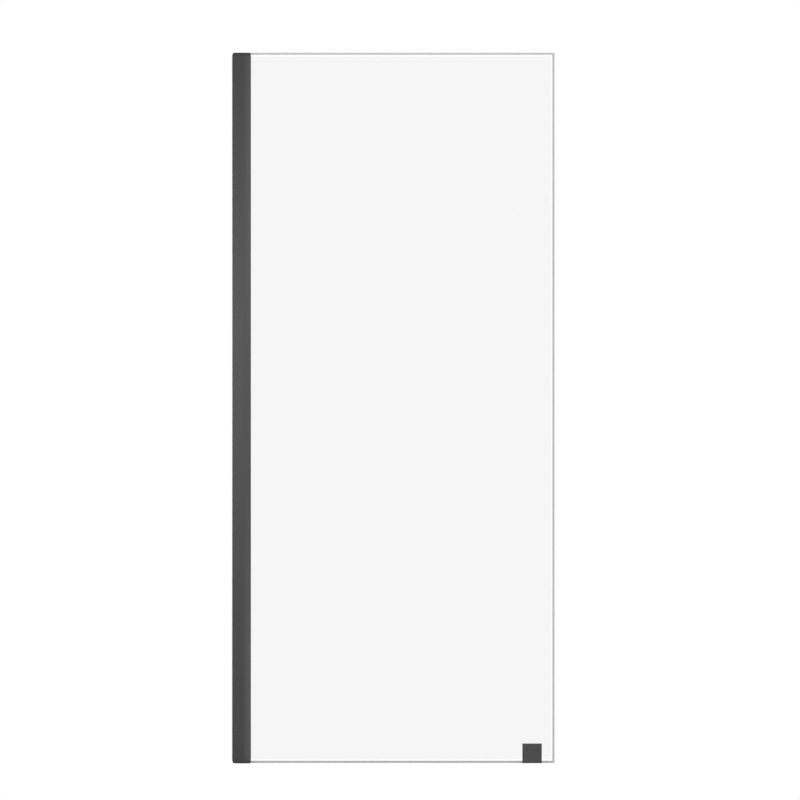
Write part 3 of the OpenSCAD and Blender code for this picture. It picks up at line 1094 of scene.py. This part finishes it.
@dataclass
class Studio:
    """Camera, background, floor and lamps.

    Attributes:
        photo_px: Width and height of the photograph.
        wall_px: Column of the panel's wall side in it.
        top_px: Row of the top of the pane.
        tray_px: Row of the tray, at the panel's foot.
        distance: How far the camera stands in front of the glass, in metres.
        ambient: Strength of the background's light on surfaces that aren't glossy.
        floor: Colour of the floor.
        floor_size: Side of the floor, in metres.
    """

    photo_px: float = 800.0
    wall_px: float = 231.95
    top_px: float = 52.65
    tray_px: float = 763.4
    distance: float = 6.0
    ambient: float = 0.9
    floor: str = "#f4f4f2"
    floor_size: float = 60.0

    def camera(self) -> None:
        """Adds the camera, square on and without perspective, as the photograph is."""
        metres_per_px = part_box("glass")[1].z / (self.tray_px - self.top_px)
        data = bpy.data.cameras.new("camera")
        data.type = "ORTHO"
        data.ortho_scale = self.photo_px * metres_per_px
        camera = bpy.data.objects.new("camera", data)
        middle = self.photo_px / 2
        across = (middle - self.wall_px) * metres_per_px
        upward = (self.tray_px - middle) * metres_per_px
        camera.location = (across, -self.distance, upward)
        camera.rotation_euler = Euler((math.pi / 2, 0.0, 0.0))
        bpy.context.scene.collection.objects.link(camera)
        bpy.context.scene.camera = camera

    def background(self) -> None:
        """Makes the world white to the eye, in metal and through glass, and a soft light elsewhere."""
        world = bpy.data.worlds.new("background")
        bpy.context.scene.world = world
        world.use_nodes = True
        tree = world.node_tree
        tree.nodes.clear()
        ray = add_node(tree, "ShaderNodeLightPath")
        seen = ray.outputs["Is Camera Ray"]
        for kind in ("Is Glossy Ray", "Is Transmission Ray"):
            pair = {0: seen, 1: ray.outputs[kind]}
            seen = add_node(tree, "ShaderNodeMath", pair, operation="MAXIMUM").outputs[0]
        lights = []
        for strength in (self.ambient, 1.0):
            white = {"Color": linear_colour("#ffffff"), "Strength": strength}
            lights.append(add_node(tree, "ShaderNodeBackground", None, white).outputs[0])
        unseen, shown = lights
        mixed = add_node(tree, "ShaderNodeMixShader", {0: seen, 1: unseen, 2: shown}).outputs[0]
        add_node(tree, "ShaderNodeOutputWorld", {"Surface": mixed})

    def ground(self) -> None:
        """Adds the plain pale floor, level with the tray."""
        shape = bmesh.new()
        bmesh.ops.create_grid(shape, x_segments=1, y_segments=1, size=self.floor_size / 2)
        mesh = bpy.data.meshes.new("floor")
        shape.to_mesh(mesh)
        shape.free()
        material = bpy.data.materials.new("floor_paint")
        material.use_nodes = True
        paint = material.node_tree.nodes["Principled BSDF"]
        paint.inputs["Base Color"].default_value = linear_colour(self.floor)
        paint.inputs["Roughness"].default_value = 1.0
        paint.inputs["Specular IOR Level"].default_value = 0.0
        mesh.materials.append(material)
        floor = bpy.data.objects.new("floor", mesh)
        bpy.context.scene.collection.objects.link(floor)

    def lamps(self) -> None:
        """Adds the lamps. All but the overhead one leave out the pane and the floor, which stay even."""
        apart = bpy.data.collections.new("lit_from_above_only")
        for name in ("pane", "floor"):
            apart.objects.link(bpy.data.objects[name])
        for kept_out in apart.collection_objects:
            kept_out.light_linking.link_state = "EXCLUDE"
        # Name, place, aim, width, height and watts
        for lamp in (
            Lamp("left_front", (-0.45, -1.8, 1.15), (0.0, 0.0, 1.15), 0.3, 0.8, 11.0),
            Lamp("right_front", (0.8, -2.4, 1.6), (0.0, 0.0, 1.6), 0.3, 0.9, 13.0),
            Lamp("low_front", (0.7, -2.4, 0.18), (0.4, 0.0, 0.1), 0.3, 0.3, 9.0),
            Lamp("left_rear", (-0.5, 1.8, 1.15), (0.0, 0.0, 1.15), 0.3, 0.8, 12.0),
            Lamp("right_rear", (1.3, 2.4, 1.0), (0.6, 0.0, 0.8), 0.4, 1.6, 20.0),
        ):
            lamp.build().light_linking.receiver_collection = apart
        Lamp("overhead", (0.45, -0.2, 3.6), (0.45, 0.0, 0.0), 1.6, 0.8, 10.0).build()

    def build(self) -> None:
        """Sets up the whole studio."""
        self.camera()
        self.background()
        self.ground()
        self.lamps()
        settings = bpy.context.scene.view_settings
        settings.view_transform = "Standard"
        log.info("studio: camera, background, floor and lamps")


def main() -> None:
    """Builds each sub-assembly and the studio."""
    logging.basicConfig(level=logging.INFO, format="%(message)s")
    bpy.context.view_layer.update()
    shop = Workshop()
    for assembly in (WallJamb(), Glazing(), WidthLocks(), FloorClamp()):
        assembly.build(shop)
        log.info("%s is done", type(assembly).__name__)
    Studio().build()
    bpy.context.view_layer.update()


if __name__ == "__main__":
    main()
